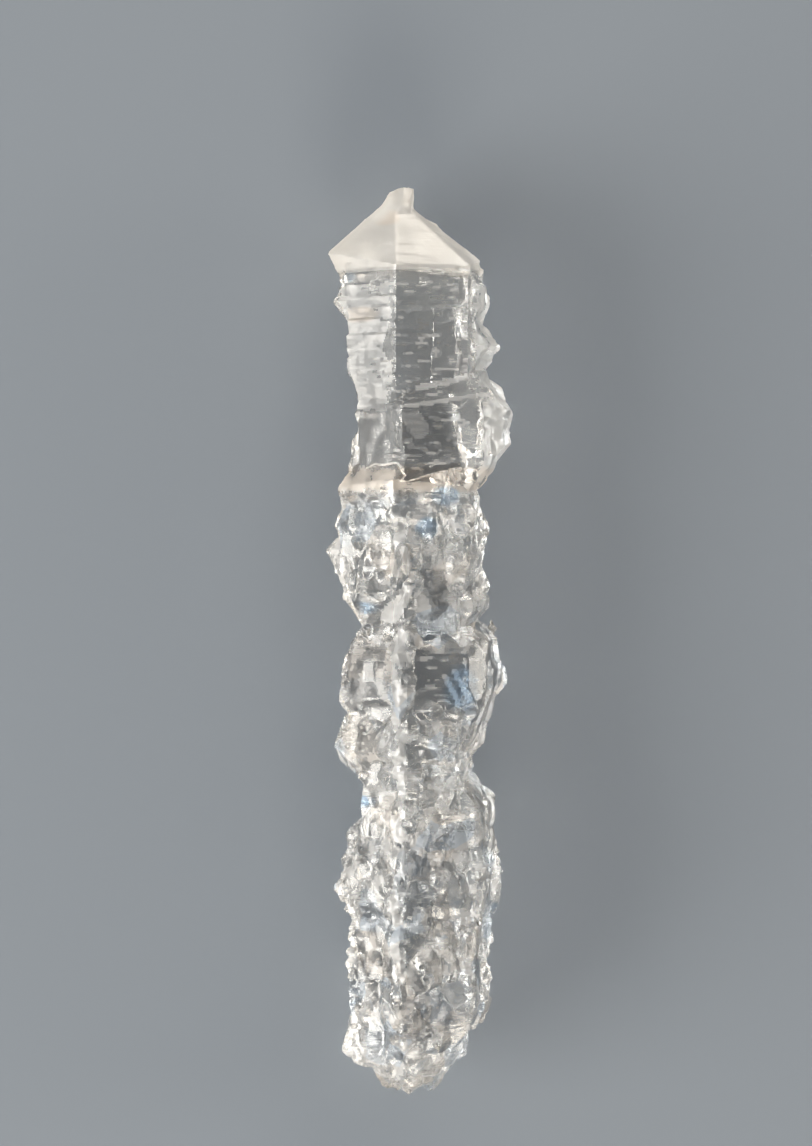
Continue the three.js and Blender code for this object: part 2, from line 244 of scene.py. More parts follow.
@dataclass(frozen=True)
class Clouds:
    """Where the crystal is milky.

    Attributes:
        stretches: The milky stretches.
        patch_mm: Width of a milky patch.
        patchy: How much the patches break up a stretch.
        soft_mm: Length over which a stretch fades along the axis.
        soft_deg: Angle over which it fades round the axis.
        wander_deg: How far a stretch wanders round the axis.
        wander_per_mm: How quickly it wanders, per millimetre of height.
        stripes: The milky stripes on top.
        stripe_mm: How far round a stripe the surface stays clear.
        streak_mm: Height of the fine streaks that cross the windows.
        streak_run_mm: Their length.
        streaked: The noise above which a streak shows.
        flat_from_mm: Height above the foot from which the milk lies in streaks, not patches.
        flat_fade_mm: Length on either side of it over which the one passes into the other.
        flat_calm: Share of the patches that is gone there.
        streaky: How strongly the milk there breaks up into streaks.
        speck_mm: Width of the specks that roughen the edges of the milk.
        speck: Strength of the specks.
        milky_from: The share in the middle of what is hazy, between clear and milky.
        hazy: Half the range of shares that is hazy.
        in_window: How far a place has to lie in a window to look like one.
    """

    stretches: tuple[Cloud, ...] = (
        Cloud(54.8, 63.0, -60.0, 240.0, 0.98),
        Cloud(45.5, 54.6, 119.0, 190.0, 0.6),
        Cloud(44.0, 54.6, -20.0, 62.0, 0.6),
        Cloud(40.0, 47.5, -20.0, 70.0, 0.62),
        Cloud(40.2, 42.4, 55.0, 185.0, 0.65),
        Cloud(5.0, 39.0, 113.0, 124.0, 0.68),
        Cloud(-2.0, 40.5, -100.0, 260.0, 0.44),
    )
    patch_mm: float = 1.0
    patchy: float = 0.75
    soft_mm: float = 0.6
    soft_deg: float = 3.0
    wander_deg: float = 26.0
    wander_per_mm: float = 0.33
    stripes: tuple[Stripe, ...] = (
        # The first two stripes are painted reflections of edges inside the crystal, drawn as milky stripes.
        Stripe(0.7, 28.4, 1.9, 26.4, 0.34, Milk.MILKY),
        Stripe(1.4, 28.7, 2.6, 26.7, 0.34, Milk.MILKY),
        Stripe(-2.0, 36.6, -1.55, 34.8, 0.55, Milk.MILKY),
        Stripe(-1.55, 34.8, -2.5, 32.2, 0.75, Milk.MILKY),
        Stripe(-0.9, 47.3, 3.1, 48.2, 0.4, Milk.MILKY),
        Stripe(-2.0, 46.05, 4.1, 47.0, 0.3, Milk.MILKY),
        Stripe(-1.7, 52.4, 2.3, 52.75, 0.34, Milk.HAZY),
        Stripe(-1.7, 45.6, -0.9, 44.6, 1.3, Milk.HAZY),
    )
    stripe_mm: float = 0.3
    streak_mm: float = 0.24
    streak_run_mm: float = 1.0
    streaked: float = 0.24
    flat_from_mm: float = 42.5
    flat_fade_mm: float = 1.0
    flat_calm: float = 0.6
    streaky: float = 0.3
    speck_mm: float = 0.22
    speck: float = 0.25
    milky_from: float = 0.5
    hazy: float = 0.13
    in_window: float = 0.5

    def milk(self, place: np.ndarray, window: float) -> Milk:
        """Says how milky the surface is at a place.

        Args:
            place: The place, in millimetres in the solid's frame.
            window: How far it lies in a window, from 0 to 1.

        Returns:
            How milky it is.
        """
        height = place[1] - foot_mm()
        right = place[0] - AXIS_X_MM
        if place[2] > AXIS_Z_MM:
            for stripe in self.stripes:
                off = stripe.distance(right, height) - stripe.width_mm / 2.0
                if off < 0.0:
                    return stripe.milk
                if off < self.stripe_mm:
                    return Milk.CLEAR
        run = self.streak_run_mm
        streak = noise.noise(Vector((place[0] / run, place[1] / self.streak_mm, place[2] / run)))
        if window > self.in_window:
            if streak > self.streaked + self.hazy:
                return Milk.MILKY
            return Milk.HAZY if streak > self.streaked else Milk.CLEAR
        fade = self.flat_fade_mm
        flat = smoothstep(self.flat_from_mm - fade, self.flat_from_mm + fade, height)
        patch = noise.noise(Vector(place) / self.patch_mm)
        speck = noise.noise(Vector(place) / self.speck_mm)
        share = self._share(place, height, right)
        share += self.patchy * patch * (1.0 - self.flat_calm * flat)
        share += self.speck * speck * (1.0 - flat) + self.streaky * streak * flat
        if share > self.milky_from + self.hazy:
            return Milk.MILKY
        return Milk.HAZY if share > self.milky_from - self.hazy else Milk.CLEAR

    def _share(self, place: np.ndarray, height: float, right: float) -> float:
        """Works out how much of the surface round a place is milky.

        Args:
            place: The place, in millimetres in the solid's frame.
            height: Its height above the foot, in millimetres.
            right: How far it lies to the right of the c axis, in millimetres.

        Returns:
            The share, about 0 to 1.
        """
        wander = self.wander_deg * noise.noise(Vector((0.0, place[1] * self.wander_per_mm, 0.0)))
        around = math.degrees(math.atan2(place[2] - AXIS_Z_MM, right)) + wander
        share = 0.0
        for cloud in self.stretches:
            turned = (around - cloud.from_deg) % 360.0 + cloud.from_deg
            along = min(height - cloud.low_mm, cloud.high_mm - height) / self.soft_mm
            across = min(turned - cloud.from_deg, cloud.to_deg - turned) / self.soft_deg
            inside = min(1.0, max(0.0, along)) * min(1.0, max(0.0, across))
            share = max(share, cloud.amount * inside)
        return share


class LumpShape(Enum):
    """How an etched lump rises.

    Attributes:
        metric: The distance that its cell is measured with.
        warp: How far the cell is warped, as a share of its width.
        top: Height of its top.
        fall: How far it falls from there over one cell.
        lowest: The height that it doesn't fall below.
    """

    ROUND = ("DISTANCE", 0.25, 0.5, 1.5, -0.6)
    FACETED = ("MANHATTAN", 0.07, 0.6, 0.95, -math.inf)

    def __init__(self, metric: str, warp: float, top: float, fall: float, lowest: float) -> None:
        """Keeps the numbers of one shape.

        Args:
            metric: The distance that its cell is measured with.
            warp: How far the cell is warped.
            top: Height of its top.
            fall: How far it falls over one cell.
            lowest: The height that it doesn't fall below.
        """
        self.metric = metric
        self.warp = warp
        self.top = top
        self.fall = fall
        self.lowest = lowest

    def height(self, distance: float) -> float:
        """Works out the height of a lump: a round one falls ever faster from its top, a faceted one evenly.

        Args:
            distance: The distance from the lump's middle, in cells.

        Returns:
            The height, as a share of the lump's depth.
        """
        faster = distance if self is LumpShape.ROUND else 1.0
        return max(self.lowest, self.top - self.fall * distance * faster)


@dataclass(frozen=True)
class Zone:
    """A stretch of the crystal's length and how it is etched.

    Attributes:
        start_mm: Height above the foot where the stretch begins.
        end_mm: Height above the foot where it ends.
        lump_mm: Width of one etched lump.
        depth_mm: How far a lump stands above the creases round it.
        below_lump_mm: Width of a facet on the underside.
        below_depth_mm: How far such a facet stands out.
        right_depth_mm: How far a lump stands out on the lobes on the right.
        shape: How a lump rises.
        calm: Share of its depth that is left in the middle of a prism face.
        wear: Number of rounds of smoothing that wear the solid's edges down.
        line_depth_mm: Height of the growth ledges that run across the prism faces.
    """

    start_mm: float
    end_mm: float
    lump_mm: float
    depth_mm: float
    below_lump_mm: float
    below_depth_mm: float
    right_depth_mm: float
    shape: LumpShape
    calm: float
    wear: int
    line_depth_mm: float


@dataclass
class EtchedCrystal:
    """The crystal as one closed mesh, with the etching that its solid leaves out.

    Attributes:
        cell_mm: Size of the grid that the solid is meshed on.
        depth_steps: Octree depth of that grid.
        weld_mm: Corners of the solid's triangles that are closer than this are one.
        fade_mm: Length over which one zone passes into the next.
        crest_deg: Half width, about the c axis, of the rough strip along each prism edge.
        crease_deg: Edges sharper than this stay crisp.
        fold_deg: Edges sharper than this are folds, which are relaxed.
        fold_rounds: Number of rounds of smoothing that relax a fold.
        lump_along: Width of a lump as a share of its length along the axis.
        lump_bend: How quickly the warp of the lumps changes, in each lump's width.
        line_mm: Spacing of the growth ledges.
        line_run_mm: How far such a ledge runs round the crystal before it wanders.
        line_slope: Fall of the ledges for 1 mm to the right.
        line_wander: How far a ledge wanders, as a share of their spacing.
        line_alike: How much the wander changes from one ledge to the next.
        line_patches: How quickly patches with and without ledges change along each axis, per millimetre.
        line_contrast: How sharply those patches end.
        window_calm: Share of the etching that is gone in a window.
        below_normal: The Z parts of a normal between which the underside's facets take over.
        right_lobes_mm: How far to the right of the c axis the right-hand lobes begin.
        right_fade_mm: Length on either side of that over which their etching sets in.
        clouds: Where it is milky.
        zones: The stretches of the crystal, from its foot to its tip.
    """

    cell_mm: float = 0.168
    depth_steps: int = 9
    weld_mm: float = 0.001
    fade_mm: float = 1.6
    crest_deg: float = 16.0
    crease_deg: float = 32.0
    fold_deg: float = 105.0
    fold_rounds: int = 6
    lump_along: float = 0.75
    lump_bend: float = 0.5
    line_mm: float = 0.8
    line_run_mm: float = 5.0
    line_slope: float = 0.08
    line_wander: float = 0.8
    line_alike: float = 0.2
    line_patches: Triple = (0.4, 0.7, 0.4)
    line_contrast: float = 2.5
    window_calm: float = 0.96
    below_normal: tuple[float, float] = (0.15, -0.35)
    right_lobes_mm: float = 3.2
    right_fade_mm: float = 0.6
    clouds: Clouds = Clouds()
    zones: tuple[Zone, ...] = (
        Zone(-2.0, 20.5, 1.25, 0.42, 2.8, 1.3, 0.42, LumpShape.ROUND, 0.9, 1, 0.0),
        Zone(20.5, 31.5, 2.0, 0.45, 3.4, 1.4, 0.45, LumpShape.FACETED, 0.7, 1, 0.0),
        Zone(31.5, 40.0, 2.6, 0.6, 3.8, 1.7, 0.6, LumpShape.FACETED, 0.9, 1, 0.0),
        Zone(40.0, 47.0, 1.5, 0.14, 2.2, 0.8, 0.6, LumpShape.FACETED, 0.8, 1, 0.1),
        Zone(47.0, 55.0, 1.4, 0.1, 2.0, 0.7, 0.4, LumpShape.FACETED, 0.8, 1, 0.2),
        Zone(55.0, 63.0, 1.8, 0.03, 2.0, 0.6, 0.03, LumpShape.ROUND, 0.6, 1, 0.09),
    )

    def build(self, finishes: list[bpy.types.Material]) -> bpy.types.Object:
        """Makes the crystal's piece.

        Args:
            finishes: Its finishes, one for each value of Milk, in order.

        Returns:
            The finished object, which stands for the CAD node.
        """
        noise.seed_set(SEED)
        welded = self._welded(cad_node(NODE).data)
        meshed = self._on_grid(welded)
        self._wear(meshed)
        self._etch(meshed)
        self._relax(meshed)
        self._shade(meshed)
        self._cloud(meshed)
        mesh = bpy.data.meshes.new("etched_crystal")
        meshed.to_mesh(mesh)
        meshed.free()
        for finish in finishes:
            mesh.materials.append(finish)
        piece = new_object("etched_crystal", mesh)
        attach(piece, "root")
        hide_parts(NODE)
        return piece

    def _welded(self, source: bpy.types.Mesh) -> bpy.types.Mesh:
        """Copies the solid's loose triangles into one closed mesh.

        Args:
            source: The CAD node's mesh, which stays as it is.

        Returns:
            A new mesh.
        """
        bm = bmesh.new()
        bm.from_mesh(source)
        bmesh.ops.remove_doubles(bm, verts=bm.verts, dist=self.weld_mm * MM)
        bmesh.ops.recalc_face_normals(bm, faces=bm.faces)
        mesh = bpy.data.meshes.new("welded")
        bm.to_mesh(mesh)
        bm.free()
        return mesh

    def _on_grid(self, mesh: bpy.types.Mesh) -> bmesh.types.BMesh:
        """Meshes the solid again on an even grid that keeps its flat faces and sharp edges.

        Args:
            mesh: The welded solid.

        Returns:
            The new surface as a bmesh.
        """
        carrier = new_object("carrier", mesh)
        low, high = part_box(NODE)
        longest_mm = max(high - low) / MM
        grid = carrier.modifiers.new("grid", "REMESH")
        grid.mode = "SHARP"
        grid.octree_depth = self.depth_steps
        grid.scale = longest_mm / (self.cell_mm * 2**self.depth_steps)
        grid.use_remove_disconnected = True
        grid.threshold = 1.0
        shaped = carrier.evaluated_get(bpy.context.evaluated_depsgraph_get())
        bm = bmesh.new()
        bm.from_mesh(shaped.to_mesh())
        shaped.to_mesh_clear()
        bpy.data.objects.remove(carrier)
        bpy.data.meshes.remove(mesh)
        LOG.info("grid: %d vertices, %d faces", len(bm.verts), len(bm.faces))
        return bm

    def _wear(self, bm: bmesh.types.BMesh) -> None:
        """Rounds the edges of each zone by its rounds of smoothing.

        Args:
            bm: The surface.
        """
        for zone in self.zones:
            low = along_axis(zone.start_mm)
            high = along_axis(zone.end_mm)
            verts = [v for v in bm.verts if low <= v.co.y < high]
            for _ in range(zone.wear):
                smooth_once(bm, verts)

    def _etch(self, bm: bmesh.types.BMesh) -> None:
        """Moves each vertex along its normal by the lumps and growth ledges of the zones it lies in.

        Args:
            bm: The surface.
        """
        low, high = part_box(NODE)
        bm.normal_update()
        places = np.array([v.co for v in bm.verts]) / MM
        normals = np.array([v.normal for v in bm.verts])
        height = places[:, 1] - foot_mm()
        around = np.degrees(np.arctan2(places[:, 2] - AXIS_Z_MM, places[:, 0] - AXIS_X_MM))
        from_edge = np.abs((around + PRISM_DEG / 2.0) % PRISM_DEG - PRISM_DEG / 2.0)
        crest = np.exp(-((from_edge / self.crest_deg) ** 2))
        below = smoothstep(*self.below_normal, normals[:, 2])
        fade = self.right_fade_mm
        right = smoothstep(self.right_lobes_mm - fade, self.right_lobes_mm + fade, places[:, 0] - AXIS_X_MM)
        push = np.zeros(len(places))
        for zone in self.zones:
            half = self.fade_mm / 2.0
            share = smoothstep(zone.start_mm - half, zone.start_mm + half, height)
            share *= smoothstep(zone.end_mm + half, zone.end_mm - half, height)
            inside = np.nonzero(share > 0.0)[0]
            above = np.array([self._lump(places[i], zone.lump_mm, zone.shape) for i in inside])
            depth = zone.depth_mm + (zone.right_depth_mm - zone.depth_mm) * right[inside]
            above *= depth * (zone.calm + (1.0 - zone.calm) * crest[inside])
            facets = np.array([self._lump(places[i], zone.below_lump_mm, LumpShape.FACETED) for i in inside])
            lumps = above + (facets * zone.below_depth_mm - above) * below[inside]
            if zone.line_depth_mm > 0.0:
                lines = np.array([self._growth_line(places[i]) for i in inside])
                lumps += lines * zone.line_depth_mm * (1.0 - np.abs(normals[inside, 1]))
            push[inside] += share[inside] * lumps
        push *= 1.0 - self.window_calm * window_share(places) * np.abs(normals[:, 2])
        moved = (places + normals * push[:, None]) * MM
        moved = np.clip(moved, np.array(low), np.array(high))
        for vert, place in zip(bm.verts, moved):
            vert.co = place

    def _relax(self, bm: bmesh.types.BMesh) -> None:
        """Smooths the deep creases where the etching folds the surface onto itself.

        Args:
            bm: The surface.
        """
        fold = math.radians(self.fold_deg)
        for _ in range(self.fold_rounds):
            bm.normal_update()
            folded = [v for v in bm.verts if any(e.calc_face_angle(math.pi) > fold for e in v.link_edges)]
            smooth_once(bm, folded)

    def _shade(self, bm: bmesh.types.BMesh) -> None:
        """Shades the surface smooth except at its sharp edges.

        Args:
            bm: The surface.
        """
        bm.normal_update()
        crease = math.radians(self.crease_deg)
        for face in bm.faces:
            face.smooth = True
        for edge in bm.edges:
            edge.smooth = edge.calc_face_angle(0.0) < crease

    def _cloud(self, bm: bmesh.types.BMesh) -> None:
        """Gives each face the finish for how milky it is.

        Args:
            bm: The surface.
        """
        places = np.array([face.calc_center_median() for face in bm.faces]) / MM
        for face, place, window in zip(bm.faces, places, window_share(places)):
            face.material_index = self.clouds.milk(place, window).value

    def _lump(self, place: np.ndarray, width_mm: float, shape: LumpShape) -> float:
        """Works out the height of the etched lump at a place, from about -0.6 to 0.6.

        Args:
            place: The place, in millimetres in the solid's frame.
            width_mm: Width of a lump.
            shape: How it rises.

        Returns:
            The height, as a share of the lump's depth.
        """
        at = Vector(place) / width_mm
        at.y *= self.lump_along
        at += noise.noise_vector(at * self.lump_bend) * shape.warp
        distances, _ = noise.voronoi(at, distance_metric=shape.metric)
        return shape.height(distances[0])

    def _growth_line(self, place: np.ndarray) -> float:
        """Works out the height of the growth ledges at a place: a slow rise, then a step.

        Args:
            place: The place, in millimetres in the solid's frame.

        Returns:
            The height, from -0.5 to 0.5, as a share of the ledge's own.
        """
        run = self.line_run_mm
        level = (place[1] + self.line_slope * place[0]) / self.line_mm
        level += self.line_wander * noise.noise(
            Vector((place[0] / run, level * self.line_alike, place[2] / run))
        )
        patch = noise.noise(Vector([at * per_mm for at, per_mm in zip(place, self.line_patches)]))
        present = min(1.0, max(0.0, 0.5 + self.line_contrast * patch))
        return (level - math.floor(level) - 0.5) * present


# ----------------------------------------------------------------------------------------------- materials


@dataclass
class Nodes:
    """A short hand for the nodes of one tree.

    Attributes:
        tree: The tree that the nodes go into.
    """

    tree: bpy.types.NodeTree

    def add(self, kind: str) -> bpy.types.Node:
        """Adds a node."""
        return self.tree.nodes.new(kind)

    def link(self, source: Socket, target: Socket) -> None:
        """Links an output to an input."""
        self.tree.links.new(source, target)

    def set(self, value: Socket | float | tuple[float, ...], target: Socket) -> None:
        """Links an output to an input, or gives the input a number or a colour.

        Args:
            value: The output, the number or the colour.
            target: The input.
        """
        if isinstance(value, Socket):
            self.link(value, target)
        else:
            target.default_value = value

    def math(self, operation: str, first: Socket | float, second: Socket | float = 0.0) -> Socket:
        """Adds a Math node on two values.

        Args:
            operation: What it does.
            first: Its first value.
            second: Its second value.

        Returns:
            The result.
        """
        node = self.add("ShaderNodeMath")
        node.operation = operation
        self.set(first, node.inputs[0])
        self.set(second, node.inputs[1])
        return node.outputs["Value"]

    def stretched(self, source: Socket, factors: Triple) -> Socket:
        """Multiplies a vector by a factor along each axis.

        Args:
            source: The vector.
            factors: The factors.

        Returns:
            The result.
        """
        node = self.add("ShaderNodeVectorMath")
        node.operation = "MULTIPLY"
        self.link(source, node.inputs[0])
        node.inputs[1].default_value = factors
        return node.outputs["Vector"]

    def reach(self, place: Socket, middle: Triple, factors: Triple) -> Socket:
        """Measures how far a place lies from a middle, with a factor along each axis.

        Args:
            place: The place.
            middle: The middle.
            factors: The factors.

        Returns:
            The distance.
        """
        node = self.add("ShaderNodeVectorMath")
        node.operation = "MULTIPLY_ADD"
        self.link(place, node.inputs[0])
        node.inputs[1].default_value = factors
        node.inputs[2].default_value = [-at * factor for at, factor in zip(middle, factors)]
        length = self.add("ShaderNodeVectorMath")
        length.operation = "LENGTH"
        self.link(node.outputs["Vector"], length.inputs[0])
        return length.outputs["Value"]

    def noise(self, place: Socket, scale: float, detail: float) -> Socket:
        """Adds a noise texture.

        Args:
            place: Where it is read.
            scale: Its scale.
            detail: Its number of finer octaves.

        Returns:
            Its value, about 0.5 on average.
        """
        node = self.add("ShaderNodeTexNoise")
        self.link(place, node.inputs["Vector"])
        node.inputs["Scale"].default_value = scale
        node.inputs["Detail"].default_value = detail
        return node.outputs["Fac"]

    def ramp(self, value: Socket, low: float, high: float) -> Socket:
        """Eases from 0 to 1 as a value goes from one number to another.

        Args:
            value: The value.
            low: Where the result is 0.
            high: Where the result is 1. It may lie below low.

        Returns:
            The eased value.
        """
        node = self.add("ShaderNodeMapRange")
        node.interpolation_type = "SMOOTHSTEP"
        self.link(value, node.inputs["Value"])
        flipped = low > high
        node.inputs["From Min"].default_value = min(low, high)
        node.inputs["From Max"].default_value = max(low, high)
        node.inputs["To Min"].default_value = 1.0 if flipped else 0.0
        node.inputs["To Max"].default_value = 0.0 if flipped else 1.0
        return node.outputs["Result"]

    def between(self, share: Socket, low: float, high: float) -> Socket:
        """Maps a share to a value between two numbers.

        Args:
            share: The share, from 0 to 1.
            low: The result where it is 0.
            high: The result where it is 1.

        Returns:
            The value.
        """
        node = self.add("ShaderNodeMapRange")
        self.link(share, node.inputs["Value"])
        node.inputs["To Min"].default_value = low
        node.inputs["To Max"].default_value = high
        return node.outputs["Result"]

    def near(self, value: Socket, middle: float, half: float) -> Socket:
        """Adds the mask of the values near a middle.

        Args:
            value: The value.
            middle: The middle.
            half: How far from it the mask is 0. At half of that distance it is 1.

        Returns:
            The mask.
        """
        off = self.math("ABSOLUTE", self.math("SUBTRACT", value, middle))
        return self.ramp(off, half, half / 2.0)

    def mixed(self, share: Socket, under: Socket | Triple, over: Triple) -> Socket:
        """Mixes a colour over another one by a share.

        Args:
            share: How much of it is taken.
            under: The colour, or the output, that it goes over.
            over: The colour.

        Returns:
            The mixed colour.
        """
        node = self.add("ShaderNodeMix")
        node.data_type = "RGBA"
        self.link(share, node.inputs["Factor"])
        self.set(under if isinstance(under, Socket) else (*under, 1.0), node.inputs["A"])
        self.set((*over, 1.0), node.inputs["B"])
        return node.outputs["Result"]


class Tint(Enum):
    """The colour of a painted glint."""

    PEACH = "peach"
    BLUE = "blue"


@dataclass(frozen=True)
class Glint(Spot):
    """A painted glint: a small spot on the top of the crystal, tinted with the colour of a reflection.

    Attributes:
        tint: Its colour.
    """

    tint: Tint


@dataclass(frozen=True)
class Grain:
    """A fine noise over the surface.

    Attributes:
        stretch: Factor along each axis.
        scale: Its scale.
        detail: Its number of finer octaves.
        low: Value where its mask begins.
        high: Value where its mask is full.
    """

    stretch: Triple
    scale: float
    detail: float
    low: float
    high: float

    def value(self, nodes: Nodes, place: Socket) -> Socket:
        """Adds the noise at a place in millimetres."""
        return nodes.noise(nodes.stretched(place, self.stretch), self.scale, self.detail)

    def mask(self, nodes: Nodes, value: Socket) -> Socket:
        """Adds the mask of the noise."""
        return nodes.ramp(value, self.low, self.high)


@dataclass(frozen=True)
class EtchPattern:
    """The shader group that says where the crystal is glossy, frosted and finely lined, and where painted
    reflections and glints tint it.

    It reads Object coordinates. Its inputs are the roughness of flat faces, Gloss, and of the etched surface,
    Frost. Its outputs are Roughness, Sheen, Relief, which is from 0 to 1, and Colour, which holds painted
    reflections and glints.

    Attributes:
        name: Its name.
        lines: The fine growth lines across the faces.
        patches: The patches in which those lines are frosted.
        pits: The pits of the etched surface.
        line_relief: Share of the lines in the fine relief. The pits have the rest.
        window_relief: Share of the fine relief that is left on glossy faces.
        sheen: Weight of the frosted skin's sheen.
        etched_frost: Share of the frost that the lumps of the lower crystal have.
        etched_below_mm: Height above the foot below which everything is etched.
        etched_fade_mm: Length on either side of it over which the etching ends.
        crest_mm: Heights between which the front edge is frosted.
        crest_fade_mm: Length over which its frost ends.
        crest_at_deg: Where that edge lies about the c axis, from +X towards +Z.
        crest_half_deg: Half its width, as an angle.
        tip_reflection_above_mm: Height above which the tip has a faint painted cream reflection.
        tip_reflection_fade_mm: Length on either side of it over which that painted reflection sets in.
        peach_reflection_mm: Middle of the painted peach reflection on the ledge under the great lobe, above
            the foot.
        peach_reflection_half_mm: Half its height.
        glint_facet_mm: Width of the facets that show a faint painted glint.
        facet_glint: Strength of that painted glint.
        warm_glint_facets: Where a facet's random number, from 0 to 1, begins to give it a painted peach
            glint, and where it does.
        cold_glint_facets: Where that number begins to give it a painted blue glint, and where it does.
        top_fade_mm: Height above the c axis over which the glints set in.
        glint_edge: Distances from a glint's middle, in its half widths, between which it ends.
        glints: The painted glints on top.
        clear: Colour of the clear body.
        cream: Colour of the painted warm reflection on the tip.
        peach: Colour of the painted reflection on the ledge, of the warm glint facets and of the peach
            glints.
        blue: Colour of the painted glints on the cold facets and of the blue glints.
    """

    name: str = "etch_pattern"
    lines: Grain = Grain((0.22, 4.2, 0.22), 1.0, 3.0, 0.42, 0.62)
    patches: Grain = Grain((0.5, 1.3, 0.5), 0.8, 2.0, 0.5, 0.62)
    pits: Grain = Grain((1.0, 1.0, 1.0), 2.4, 4.0, 0.4, 0.75)
    line_relief: float = 0.6
    window_relief: float = 0.35
    sheen: float = 0.5
    etched_frost: float = 0.4
    etched_below_mm: float = 40.0
    etched_fade_mm: float = 0.6
    crest_mm: tuple[float, float] = (6.0, 40.0)
    crest_fade_mm: float = 2.0
    crest_at_deg: float = 119.0
    crest_half_deg: float = 9.0
    # Painted reflections and glints, which tint the colour of the clear body.
    tip_reflection_above_mm: float = 54.8
    tip_reflection_fade_mm: float = 0.5
    peach_reflection_mm: float = 41.3
    peach_reflection_half_mm: float = 1.1
    glint_facet_mm: float = 2.2
    facet_glint: float = 0.4
    warm_glint_facets: tuple[float, float] = (0.2, 0.1)
    cold_glint_facets: tuple[float, float] = (0.82, 0.9)
    top_fade_mm: float = 1.0
    glint_edge: tuple[float, float] = (1.1, 0.6)
    clear: Triple = (1.0, 0.972, 0.93)
    cream: Triple = (1.0, 0.94, 0.86)
    peach: Triple = (1.0, 0.87, 0.74)
    blue: Triple = (0.6, 0.79, 1.0)
    # Painted glints: spots on top tinted peach or blue.
    glints: tuple[Glint, ...] = (
        Glint(-2.2, 58.8, 1.1, 0.7, Tint.PEACH),
        Glint(-4.1, 52.2, 1.0, 0.6, Tint.PEACH),
        Glint(-5.0, 54.7, 0.8, 0.5, Tint.BLUE),
        Glint(0.9, 40.2, 1.1, 0.7, Tint.BLUE),
        Glint(-0.4, 38.1, 0.9, 0.8, Tint.BLUE),
        Glint(-4.2, 32.8, 1.5, 0.5, Tint.BLUE),
        Glint(2.0, 27.5, 1.5, 1.7, Tint.BLUE),
        Glint(-4.0, 20.0, 1.0, 0.5, Tint.BLUE),
    )

    def build(self) -> bpy.types.ShaderNodeTree:
        """Makes the group.

        Returns:
            The node group.
        """
        group = bpy.data.node_groups.new(self.name, "ShaderNodeTree")
        for name in ("Gloss", "Frost"):
            group.interface.new_socket(name=name, in_out="INPUT", socket_type="NodeSocketFloat")
        for name in ("Roughness", "Sheen", "Relief"):
            group.interface.new_socket(name=name, in_out="OUTPUT", socket_type="NodeSocketFloat")
        group.interface.new_socket(name="Colour", in_out="OUTPUT", socket_type="NodeSocketColor")
        nodes = Nodes(group)
        given = nodes.add("NodeGroupInput")
        out = nodes.add("NodeGroupOutput")
        place = nodes.stretched(nodes.add("ShaderNodeTexCoord").outputs["Object"], (1.0 / MM,) * 3)
        axes = nodes.add("ShaderNodeSeparateXYZ")
        nodes.link(place, axes.inputs["Vector"])
        height = nodes.math("SUBTRACT", axes.outputs["Y"], foot_mm())
        lines = self.lines.value(nodes, place)
        patches = self.patches.value(nodes, place)
        pits = self.pits.value(nodes, place)
        fade = self.etched_fade_mm
        etched = nodes.ramp(height, self.etched_below_mm + fade, self.etched_below_mm - fade)
        streaked = nodes.math("MULTIPLY", self.patches.mask(nodes, patches), self.lines.mask(nodes, lines))
        dull = nodes.math("MULTIPLY", etched, self.etched_frost)
        pitted = nodes.math("MULTIPLY", dull, self.pits.mask(nodes, pits))
        bare = self._outside_windows(nodes, axes, height)
        crest = self._front_crest(nodes, axes, height)
        clouded = nodes.math("MULTIPLY", bare, nodes.math("SUBTRACT", 1.0, etched))
        rough_skin = nodes.math("MAXIMUM", pitted, streaked)
        frosted = nodes.math("MAXIMUM", rough_skin, nodes.math("MAXIMUM", clouded, crest))
        span = nodes.math("SUBTRACT", given.outputs["Frost"], given.outputs["Gloss"])
        rough = nodes.math("ADD", given.outputs["Gloss"], nodes.math("MULTIPLY", frosted, span))
        nodes.link(rough, out.inputs["Roughness"])
        etched_only = nodes.math("MULTIPLY", etched, bare)
        nodes.link(self._painted_reflections(nodes, place, axes, height, etched_only), out.inputs["Colour"])
        lined = nodes.math("MULTIPLY", lines, self.line_relief)
        relief = nodes.math("ADD", lined, nodes.math("MULTIPLY", pits, 1.0 - self.line_relief))
        depth = nodes.between(frosted, self.window_relief, 1.0)
        nodes.link(nodes.math("MULTIPLY", relief, depth), out.inputs["Relief"])
        nodes.link(nodes.math("MULTIPLY", frosted, self.sheen), out.inputs["Sheen"])
        return group

    def _painted_reflections(
        self, nodes: Nodes, place: Socket, axes: bpy.types.Node, height: Socket, etched: Socket
    ) -> Socket:
        """Adds the faint painted reflections and glints: a cream reflection on the tip, a peach one on a
        ledge, and peach and blue glints on a few facets and listed spots.

        Args:
            nodes: The group's nodes.
            place: The place, in millimetres.
            axes: The same place as its three parts.
            height: The height above the foot, in millimetres.
            etched: The mask of the etched facets.

        Returns:
            The colour.
        """
        # Painted warm reflection: the tip is tinted cream.
        fade = self.tip_reflection_fade_mm
        tip = nodes.ramp(height, self.tip_reflection_above_mm - fade, self.tip_reflection_above_mm + fade)
        # Painted peach reflection on the ledge under the great lobe.
        ledge = nodes.near(height, self.peach_reflection_mm, self.peach_reflection_half_mm)
        # Painted glints: a few random facets of the etched part are tinted peach or blue.
        cells = nodes.add("ShaderNodeTexVoronoi")
        nodes.link(place, cells.inputs["Vector"])
        cells.inputs["Scale"].default_value = 1.0 / self.glint_facet_mm
        chance = nodes.add("ShaderNodeSeparateColor")
        nodes.link(cells.outputs["Color"], chance.inputs["Color"])
        faint = nodes.math("MULTIPLY", etched, self.facet_glint)
        warm = nodes.math("MULTIPLY", nodes.ramp(chance.outputs["Red"], *self.warm_glint_facets), faint)
        cold = nodes.math("MULTIPLY", nodes.ramp(chance.outputs["Red"], *self.cold_glint_facets), faint)
